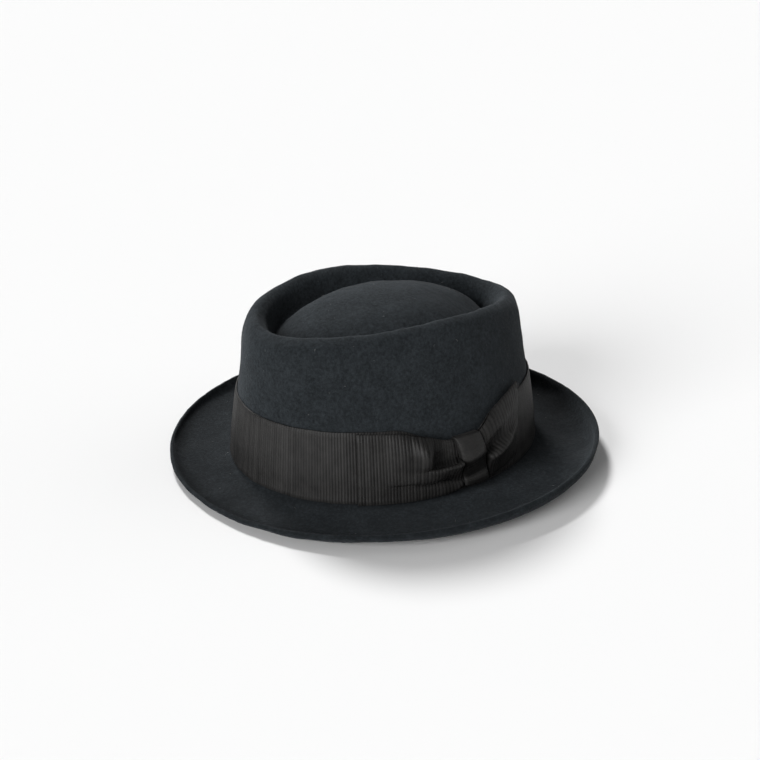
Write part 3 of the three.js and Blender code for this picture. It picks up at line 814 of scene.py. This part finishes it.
def bow_strip():
    ribs = round((STRIP_FRONT + STRIP_BACK) / RIB_PITCH)
    columns = ribs * COLUMNS_PER_RIB + 1
    phase = np.arange(columns) / COLUMNS_PER_RIB
    length = mix(-STRIP_FRONT, STRIP_BACK, phase / ribs)
    share = np.linspace(0, 1, STRIP_ROWS + 1)
    across = RIBBON_WIDTH * share
    heights, lifts = strip_section(length)
    centre = over_wall(bow_angle(length[:, None], share[None]), heights, lifts)
    normals = -grid_normals(centre, closed=False)
    ribbing = rib_pattern(phase, 37)[:, None] * edges_fade(across)[None]
    thick = STRIP_PLY + uneven(centre, STRIP_WAVES) + RIB_HEIGHT * ribbing
    face = centre + thick[..., None] * normals

    # The under ply
    back_length = np.linspace(STRIP_BACK, -STRIP_FRONT, BACK_COLUMNS)
    low, high = strip_edges(back_length)
    back_heights = mix(low[:, None] + UNDER_INSET, high[:, None] - UNDER_INSET, share[None])
    back_angle = bow_angle(back_length[:, None], share[None])
    under_out = over_wall(back_angle, back_heights, STRIP_LIFT)
    under_in = over_wall(back_angle, back_heights, STRIP_LIFT + STRIP_PLY)

    def folded_end(end, end_heights, way):
        """Columns round the fold at one end, from the under ply up: outside and inside."""
        radius = STRIP_THICK / 2
        sides = []
        for ring in (radius, radius - STRIP_PLY):
            turns = np.linspace(math.pi, 0, FOLD_TURNS + 2)[1:-1, None]
            angle = bow_angle(end, share[None]) + way * ring * np.sin(turns) / BOW_RADIUS
            sides.append(over_wall(angle, end_heights[None], STRIP_LIFT + radius + ring * np.cos(turns)))
        return sides

    front_out, front_in = folded_end(-STRIP_FRONT, heights[0], -1)
    back_out, back_in = folded_end(STRIP_BACK, heights[-1], 1)
    outer = np.concatenate([face[::-1], front_out[::-1], under_out[::-1], back_out])
    inner = np.concatenate([centre[::-1], front_in[::-1], under_in[::-1], back_in])
    loop = np.concatenate([outer, inner[:, ::-1]], 1)
    end = phase[-1]
    along = np.concatenate([phase[::-1], np.zeros(FOLD_TURNS),
                            np.linspace(0, end, BACK_COLUMNS), np.full(FOLD_TURNS, end)])
    # Painted shade, from how deep each place lies among the folds
    painted_fold_shade = np.zeros(loop.shape[:2])
    painted_fold_shade[:columns, :len(share)] = tucked_in(lifts, FOLD_REACH)[::-1]
    faces = ply_faces(len(loop), loop.shape[1], closed=True)
    uv = ribbon_uv(along, across)
    return add_mesh("ribbon_bow", loop.reshape(-1, 3), faces, grosgrain, uv, painted_fold_shade)


strip = bow_strip()
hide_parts("bow_strip")

# Knot
# A short piece of the ribbon, its edges turned in, is wrapped over the squeezed middle and sewn
# down behind. It bulges at the middle and tucks in below.
KNOT_THICK = 1.4
KNOT_END = 0.8  # its turned ends are thinner
KNOT_SKIN = 0.2  # how far inside its outline the turned ends start
KNOT_TURN = 0.4  # and how far below its back
KNOT_CROWN = 4.8
KNOT_COLUMNS = 28
ROWS_PER_RIB = 5
BACK_ROWS = 10
KNOT_RIBS = 0.12  # its ribs are pressed nearly flat
FLAT_RIB = 0.5  # the place on a rib whose shade the whole knot has
KNOT_TILT = 0.07  # how much higher the crest lies at the back side, as a share of the length
KNOT_FALL = 0.45  # how much less its sides bulge, as a share
KNOT_ROUND = 0.75  # how far its turned edges are rounded down
KNOT_WAIST = 0.06  # how much narrower it is at the middle of its length, as a share
KNOT_PAINTED_SHADE = ((0.18, 0.3), (0.48, 0.6))  # where the painted shade of its lower fold comes and goes
# From the lower end up: height share, how far it stands out as a share of the crown
KNOT_PROFILE = ((0, 0), (0.1, 0.3), (0.22, 0.1), (0.42, 0.4), (0.58, 0.96), (0.66, 1), (0.83, 0.68),
                (0.94, 0.3), (1, 0))


def bow_knot():
    strip_low, strip_high = (edge[0] for edge in strip_edges(np.zeros(1)))
    low = strip_low - GAP - KNOT_END
    high = strip_high + GAP + KNOT_END
    base = STRIP_LIFT + BED_THICK + GAP
    ribs = round((high - low) / RIB_PITCH) + 3
    share = np.linspace(0, 1, ribs * ROWS_PER_RIB + 1)
    side = np.linspace(-1, 1, KNOT_COLUMNS + 1)[:, None]
    table = np.array(KNOT_PROFILE)
    middle = 1 - ease(np.abs(table[:, 0] - 0.5), 0.1, 0.45)
    heights = table[None, :, 0] + KNOT_TILT * side * middle[None]
    out = np.broadcast_to(KNOT_CROWN * table[None, :, 1], heights.shape)
    curve = through(np.stack([mix(low, high, heights), out, np.zeros_like(out)], -1), share)
    bulge = 1 - KNOT_FALL * side ** 2
    edge_round = KNOT_ROUND * (1 - np.sqrt(np.clip(1 - side ** 6, 0, 1)))
    phase = share * ribs
    ribbing = KNOT_RIBS * rib_pattern(phase, 53)[None]
    lift = base + KNOT_THICK + curve[..., 1] * bulge - edge_round + ribbing
    waist = 1 - KNOT_WAIST * np.sin(math.pi * share)[None]
    along = side * waist * KNOT_WIDTH / 2
    face = over_wall(bow_angle(along, share[None]), curve[..., 0], lift)

    # Its ends turn in over the strip's edges, and its back closes the piece
    depths = np.array([[base - KNOT_TURN, STRIP_LIFT, STRIP_LIFT, base]])
    inside = np.array([[KNOT_SKIN, KNOT_SKIN, KNOT_END, KNOT_END]])
    top = over_wall(bow_angle(along[:, [0]], 1), high - inside, depths)
    low_end = over_wall(bow_angle(along[:, [0]], 0), low + inside[:, ::-1], depths[:, ::-1])
    back_share = np.linspace(0.9, 0.1, BACK_ROWS)[None]
    back = over_wall(bow_angle(along[:, [0]], back_share), mix(low, high, back_share), base)
    loop = np.concatenate([face, top, back, low_end], 1)
    columns, count = loop.shape[:2]
    faces = ply_faces(columns, count, closed=False)
    faces.append(list(range(count))[::-1])
    faces.append([(columns - 1) * count + j for j in range(count)])
    uv = np.stack(np.broadcast_arrays(np.full(count, FLAT_RIB)[None], side * KNOT_WIDTH / 2), -1)
    # Painted shade on the knot's lower fold
    comes, goes = KNOT_PAINTED_SHADE
    painted_fold_shade = np.zeros(loop.shape[:2])
    painted_fold_shade[:, :len(share)] = ease(share, *comes) * (1 - ease(share, *goes))
    points = loop.reshape(-1, 3)
    return add_mesh("ribbon_knot", points, faces, grosgrain, uv.reshape(-1, 2), painted_fold_shade)


knot = bow_knot()
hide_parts("bow_knot")

# Tack stitches
# Small stitches of black cotton thread are sewn through the corners of the bow into the band,
# so that the bow lies flat. Only their loops show.
# Place along the band from the knot, height above the band's lower edge, and lean in radians
TACKS = ((-62.4, 38.2, 0.35), (-62.0, 4.9, -0.5), (36.4, 46.6, 1.2), (35.4, 45.6, 0.2))
TACK_LENGTH = 2.2
TACK_RADIUS = 0.22
TACK_SIDES = 6
TACK_STATIONS = 7
TACK_RISE = 0.55  # how far its middle stands off the strip, and how far its ends sink
TACK_SINK = 0.75
THREAD_DARK = (0.006, 0.006, 0.006, 1)
THREAD_LIGHT = (0.03, 0.03, 0.03, 1)


def thread_material():
    material, tree, shader = new_material("thread")
    place = tree.nodes.new("ShaderNodeTexCoord").outputs["Object"]
    shade = range_node(tree, noise_node(tree, place, 900, 2), 0.35, 0.65, 0, 1)
    tree.links.new(mix_colour(tree, shade, THREAD_DARK, THREAD_LIGHT), shader.inputs["Base Color"])
    shader.inputs["Roughness"].default_value = 0.45
    return material


def tack_stitches():
    vertices = []
    faces = []
    share = np.linspace(-1, 1, TACK_STATIONS)
    for length, height, lean in TACKS:
        angle = bow_angle(length + share * TACK_LENGTH / 2 * math.cos(lean), height / RIBBON_WIDTH)
        rise = height + BAND_LIFT + share * TACK_LENGTH / 2 * math.sin(lean)
        lift = STRIP_LIFT + STRIP_THICK + TACK_RISE - TACK_SINK * share ** 4
        line = over_wall(angle, rise, lift)
        along = np.gradient(line, axis=0)
        along /= np.linalg.norm(along, axis=-1, keepdims=True)
        one = np.cross(along, (0, 0, 1.0))
        one /= np.linalg.norm(one, axis=-1, keepdims=True)
        two = np.cross(along, one)
        start = len(vertices)
        for j in range(TACK_SIDES):
            turn_angle = 2 * math.pi * j / TACK_SIDES
            ring = line + TACK_RADIUS * (math.cos(turn_angle) * one + math.sin(turn_angle) * two)
            vertices += ring.tolist()
        faces += grid_faces(TACK_SIDES, TACK_STATIONS, closed=True, start=start)
        first = [start + j * TACK_STATIONS for j in range(TACK_SIDES)]
        faces.append(first)
        faces.append([corner + TACK_STATIONS - 1 for corner in reversed(first)])
    return add_mesh("tack_stitches", vertices, faces, thread_material())


tacks = tack_stitches()

# Floor and light
# A white paper sweep lit until it goes nearly blank. A lamp stands high behind the hat and a wide
# soft one low in front, left of the camera. Two weak ones, behind on the right and above, and the
# white room add a little.
FLOOR_HALF = 30  # metres
PAPER = 0.82  # share of the light that the paper sends back
# Name, heading and height in degrees, spread in degrees, strength
LAMPS = (
    ("lamp_behind", 167, 45, 13, 2.9),
    ("lamp_left", 284, 20, 34, 3.1),
    ("lamp_right", 62, 28, 60, 0.5),
    ("lamp_above", 200, 85, 140, 0.2),
)
ROOM = 0.06  # how much light the white room gives from everywhere
SWEEP = 0.975  # how bright the sweep looks where it rises behind the floor

floor_mesh = bpy.data.meshes.new("floor")
floor_mesh.from_pydata(
    [(x * FLOOR_HALF, y * FLOOR_HALF, 0) for x, y in ((-1, -1), (1, -1), (1, 1), (-1, 1))],
    [], [(0, 1, 2, 3)])
floor = bpy.data.objects.new("floor", floor_mesh)
bpy.context.scene.collection.objects.link(floor)
paper, _, paper_shader = new_material("white_paper")
paper_shader.inputs["Base Color"].default_value = (PAPER, PAPER, PAPER, 1)
paper_shader.inputs["Roughness"].default_value = 0.9
paper_shader.inputs["Specular IOR Level"].default_value = 0.0
floor_mesh.materials.append(paper)

for name, heading, height, spread, strength in LAMPS:
    lamp_data = bpy.data.lights.new(name, "SUN")
    lamp_data.energy = strength
    lamp_data.angle = math.radians(spread)
    lamp = bpy.data.objects.new(name, lamp_data)
    level = math.cos(math.radians(height))
    way = Vector((
        math.cos(math.radians(heading)) * level,
        math.sin(math.radians(heading)) * level,
        math.sin(math.radians(height)),
    ))
    lamp.rotation_euler = way.to_track_quat("Z", "Y").to_euler()
    bpy.context.scene.collection.objects.link(lamp)

world = bpy.data.worlds.new("studio")
world.use_nodes = True
world_tree = world.node_tree
room_light = world_tree.nodes["Background"]
room_light.inputs["Color"].default_value = (1, 1, 1, 1)
room_light.inputs["Strength"].default_value = ROOM
sweep = world_tree.nodes.new("ShaderNodeBackground")
sweep.inputs["Strength"].default_value = SWEEP
seen = world_tree.nodes.new("ShaderNodeMixShader")
camera_ray = world_tree.nodes.new("ShaderNodeLightPath").outputs["Is Camera Ray"]
world_tree.links.new(camera_ray, seen.inputs["Fac"])
world_tree.links.new(room_light.outputs["Background"], seen.inputs[1])
world_tree.links.new(sweep.outputs["Background"], seen.inputs[2])
world_tree.links.new(seen.outputs["Shader"], world_tree.nodes["World Output"].inputs["Surface"])
bpy.context.scene.world = world
bpy.context.scene.view_settings.view_transform = "Standard"
